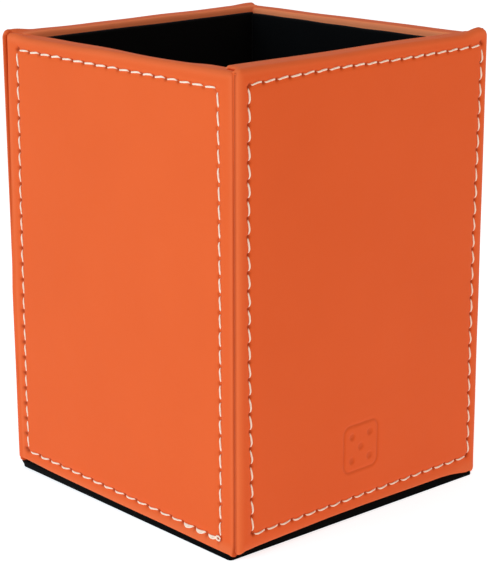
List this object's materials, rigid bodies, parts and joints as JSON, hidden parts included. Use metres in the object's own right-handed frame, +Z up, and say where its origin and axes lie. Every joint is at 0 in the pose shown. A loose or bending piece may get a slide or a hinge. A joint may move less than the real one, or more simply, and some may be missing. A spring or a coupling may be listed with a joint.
{
  "type": "leather dice cup",
  "caption": "Square straight-sided open-topped cup of orange stitched leatherette panels over board, lined with black velvet, on a thin black felted base.",
  "frame": {"origin": "centre of the underside of the base, on the surface that the cup stands on", "axes": "+Z up out of the mouth; -Y is the front panel's outward direction; +X is to the right seen from the front"},
  "size_m": [0.08, 0.08, 0.1084],
  "materials": {
    "leather": "smooth fine-grained orange leatherette, satin",
    "thread": "cream twisted polyester sewing thread",
    "card": "plain grey card",
    "fibreboard": "plain medium-density fibreboard",
    "velvet": "black short-pile velvet",
    "felt": "black pressed felt"
  },
  "bodies": {
    "root": {"cover_front": "leather", "stitching_front": "thread", "panel_card_front": "card", "core_front": "fibreboard", "lining_card_front": "card", "velvet_front": "velvet", "cover_back": "leather", "stitching_back": "thread", "panel_card_back": "card", "core_back": "fibreboard", "lining_card_back": "card", "velvet_back": "velvet", "cover_left": "leather", "stitching_left": "thread", "panel_card_left": "card", "core_left": "fibreboard", "lining_card_left": "card", "velvet_left": "velvet", "cover_right": "leather", "stitching_right": "thread", "panel_card_right": "card", "core_right": "fibreboard", "lining_card_right": "card", "velvet_right": "velvet", "core_floor": "fibreboard", "lining_card_floor": "card", "velvet_floor": "velvet", "base_board": "fibreboard", "base_felt": "felt"}
  },
  "joints": []
}
